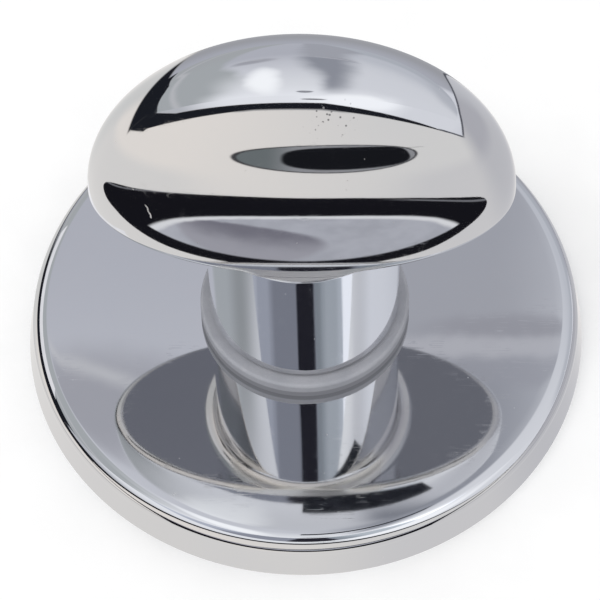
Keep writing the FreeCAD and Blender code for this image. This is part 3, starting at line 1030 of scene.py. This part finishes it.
# %% [markdown]
# ## The dark card
#
# A dark card with a grey sheet on it lies in front of the rose, a little lower than the rose's top.
# It draws the dark half-moon low on the knob and the thin dark line round the front of the rose's
# edge. Its outline is a smooth curve through corners that were found where the half-moon's border is.

# %% Outline of the dark card
CARD_HEIGHT = 3.25


def smooth_loop(corners, steps=6):
    """A closed curve that runs smoothly through the corners."""
    corners = np.array(corners, float)
    before, after, beyond = [np.roll(corners, shift, axis=0) for shift in (1, -1, -2)]
    loop = []
    for a, b, c, d in zip(before, corners, after, beyond):
        for t in np.arange(steps) / steps:
            bend = (2 * a - 5 * b + 4 * c - d) * t ** 2 + (3 * b - a - 3 * c + d) * t ** 3
            loop.append(tuple(b + ((c - a) * t + bend) / 2))
    return loop


def card_outline():
    back = [(-41.5, -5.6), (-36.3, -11.0), (-26.2, -16.8), (-9.9, -22.4), (8.8, -22.5), (20.8, -19.3)]
    right_end = [(29.5, -16.4), (36.0, -13.2), (39.4, -12.3), (42.2, -13.0), (44.4, -16.0)]
    right_side = [(45.4, -21.0), (44.9, -29.0), (42.0, -40.0), (34.0, -54.0)]
    front = [(18.0, -66.5), (-2.0, -70.3), (-22.0, -67.0)]
    left_end = [(-38.0, -56.0), (-48.5, -41.0), (-53.0, -27.0), (-54.0, -17.0), (-52.6, -9.8)]
    left_end += [(-50.0, -5.2), (-46.0, -3.2)]
    return smooth_loop(back + right_end + right_side + front + left_end)


print("corners of the card's curve:", len(card_outline()))

# %% [markdown]
# The grey sheet on the card has a paler rim and a darker patch, and the card has a thin paler line
# along its edge. All of them are ovals in millimetres with a little mottling.

# %% Dark card in front of the rose
def card_finish():
    material, graph, place = start_finish("dark_card")
    x, y, _ = split(graph, place)
    mottle = grain(graph, place, 7.0, 3.0) - 0.5
    rim = oval(x + mottle * 0.8, y, (0.4, -24), (30.6, 26.0), 0.05)
    rim = rim * (1 - (y - x * x * 0.006).rise(-25.9, -25.3))
    patch = oval(x + mottle * 4, y + mottle * 2, (-11.5, -32), (15.5, 8.4), 0.2)
    patch_tone = (y + mottle * 6).rise(-38.0, -27.0).blend(seen(112, 111, 121), seen(150, 150, 158))
    grey = (mottle.rise(-0.2, 0.25) * 0.6).blend(seen(168, 170, 178), seen(148, 150, 158))
    grey = patch.blend(grey, patch_tone)
    inside = oval(x + mottle * 2.5, y + mottle, (0.4, -24), (28.4, 23.8), 0.06)
    grey = (1 - inside).blend(grey, seen(208, 209, 212))
    off_x, off_y = (x + 4.5) / 50.0, (y + 16.5) / 54.0
    edge = (off_x.size_to_power(2.3) + off_y.size_to_power(2.3)).between(0.86, 0.91, 0.015)
    edge = edge * off_x.size_to_power(2.0).rise(0.3, 0.7)
    black = (edge * 0.8).blend(seen(20, 20, 25), seen(120, 121, 126))
    close_glow(graph, rim.blend(black, grey))
    return material


card = mirror_sheet("dark_card_sheet", card_outline(), CARD_HEIGHT, card_finish())

# %% [markdown]
# Close in front of the knob hangs a narrow black flag, edge on to the dome. Only the rose sees its
# flat side, by way of the front of the knob: it draws the black patch in the rose.

# %% Narrow black flag
FLAG_HEIGHT = 37.8


def flag_finish():
    material, graph, place = start_finish("black_flag")
    weave = grain(graph, place, 1.2, 3.0)
    close_glow(graph, weave.rise(0.35, 0.75).blend(seen(26, 28, 33, 2), seen(40, 42, 48, 2)))
    return material


def flag_height(x, y):
    """The flag bends down to the sides like the dome, so that the dome sees only its edge."""
    start = x / (1 + (-y - 5) * 0.0735)
    return FLAG_HEIGHT - 0.0113 * start * start


def flag_outline(steps=24):
    places = [-0.8 + 16.2 * step / steps for step in range(steps + 1)]
    front = [(x, -17.3 + 0.0155 * x * x + 0.06 * x) for x in places]
    back = [(x, -12.2 + 0.0085 * x * x + 0.06 * x) for x in reversed(places)]
    return front + back


flag = mirror_sheet("black_flag_sheet", flag_outline(), FLAG_HEIGHT, flag_finish(), flag_height)

# %% [markdown]
# A narrow strip of white paper lies close round the rose, on the left of the dark card. The rounded
# edge of the rose picks it up as a bright border.

# %% White strip beside the rose
def strip_finish():
    material, graph, place = start_finish("white_strip")
    fibre = grain(graph, place, 2.0, 2.0)
    colour = fibre.rise(0.3, 0.7).blend(seen(214, 214, 218), seen(222, 222, 225))
    y = split(graph, place)[1]
    close_glow(graph, (1 - y.rise(-17.5, -14.0)).blend(colour, seen(206, 205, 204)))
    return material


def strip_outline(start, end, inner, outer, steps=40):
    """A piece of a ring. Angles in degrees from the front, positive to the right."""
    turns = [math.radians(start + (end - start) * step / steps) for step in range(steps + 1)]
    near = [(inner * math.sin(t), -inner * math.cos(t)) for t in turns]
    far = [(outer * math.sin(t), -outer * math.cos(t)) for t in reversed(turns)]
    return near + far


STRIP_HEIGHT = 6.0
strip_edge = strip_outline(-115, -72, 25.7, 29.0)
strip = mirror_sheet("white_strip_sheet", strip_edge, STRIP_HEIGHT, strip_finish())

# %% [markdown]
# ## Floor and lamp
#
# The rose lies on a pale paper floor, which keeps a soft shadow. Its camera colour is lifted a little
# so that open paper shows white.

# %% Floor
FLOOR_RADIUS = 2000.0


def round_outline(radius, steps=96):
    angles = np.linspace(0, 2 * math.pi, steps, endpoint=False)
    return [(radius * math.cos(a), radius * math.sin(a)) for a in angles]


def floor_finish():
    material, graph, place = start_finish("pale_floor")
    tooth = grain(graph, place, 6.0, 2.0)
    paper = tooth.rise(0.3, 0.7).blend((0.86, 0.86, 0.86), (0.88, 0.88, 0.88))
    camera_ray = graph.node("ShaderNodeLightPath", output="Is Camera Ray")
    lift_colour = camera_ray.blend((0.0, 0.0, 0.0), (0.16, 0.16, 0.16))
    matt = graph.node("ShaderNodeBsdfDiffuse", sockets={"Color": paper})
    lift = graph.node("ShaderNodeEmission", sockets={"Color": lift_colour, "Strength": 1.0})
    lit = graph.node("ShaderNodeAddShader", sockets={0: matt, 1: lift})
    graph.node("ShaderNodeOutputMaterial", sockets={"Surface": lit})
    material.cycles.emission_sampling = "NONE"
    return material


floor_mesh = bpy.data.meshes.new("pale_floor_sheet")
floor_edge = [(x * MM, y * MM, 0.0) for x, y in round_outline(FLOOR_RADIUS)]
floor_mesh.from_pydata(floor_edge, [], [tuple(range(len(floor_edge)))])
floor = bpy.data.objects.new("pale_floor_sheet", floor_mesh)
bpy.context.scene.collection.objects.link(floor)
floor_mesh.materials.append(floor_finish())
floor.visible_glossy = False
print("floor radius in metres:", FLOOR_RADIUS * MM)

# %% [markdown]
# One soft lamp, up on the left and a little in front, gives the shadow its direction. The chrome
# doesn't show the lamp itself: the tent already holds all that the mirror sees.

# %% Soft lamp
lamp_data = bpy.data.lights.new("soft_lamp", "AREA")
lamp_data.shape = "DISK"
lamp_data.size = 0.5
lamp_place = Vector((-0.25, -0.2, 0.8))
lamp_data.energy = 0.28 * math.pi ** 2 * lamp_place.length_squared
lamp = bpy.data.objects.new("soft_lamp", lamp_data)
lamp.location = lamp_place
lamp.rotation_mode = "QUATERNION"
lamp.rotation_quaternion = lamp_place.to_track_quat("Z", "Y")
lamp.visible_glossy = False
bpy.context.scene.collection.objects.link(lamp)
print("lamp power in watts:", round(lamp_data.energy, 2))

# %% [markdown]
# ## The camera
#
# The picture looks down at the rose from 58 degrees above the table, with a long lens, and the
# camera is tipped a little to one side. The camera's three axes are worked out from those angles and
# set as a matrix.

# %% Camera
DISTANCE = 0.340
ELEVATION = math.radians(58.25)
ROLL = -0.0267
TURN = 0.0349
AIM = (-0.000513, 0.002863)
LENS = 220.79


def camera_matrix():
    around = Matrix.Rotation(TURN, 3, "Z")
    back = around @ Vector((0, -math.cos(ELEVATION), math.sin(ELEVATION)))
    level = around @ Vector((1, 0, 0))
    upright = back.cross(level)
    right = level * math.cos(ROLL) + upright * math.sin(ROLL)
    top = upright * math.cos(ROLL) - level * math.sin(ROLL)
    place = back * DISTANCE
    target = right * AIM[0] + top * AIM[1]
    back = (place - target).normalized()
    right = (right - back * right.dot(back)).normalized()
    top = back.cross(right)
    rotation = Matrix((right, top, back)).transposed().to_4x4()
    return Matrix.Translation(place) @ rotation


camera_data = bpy.data.cameras.new("photo_camera")
camera_data.lens = LENS
camera_data.sensor_width = 36.0
camera_data.clip_start = 0.01
camera = bpy.data.objects.new("photo_camera", camera_data)
camera.matrix_world = camera_matrix()
bpy.context.scene.collection.objects.link(camera)
bpy.context.scene.camera = camera
bpy.context.scene.view_settings.view_transform = "Standard"
print("camera at mm:", [round(v / MM, 1) for v in camera.location])

# %% [markdown]
# ## Closing
#

# %% Last update of the scene
bpy.context.view_layer.update()
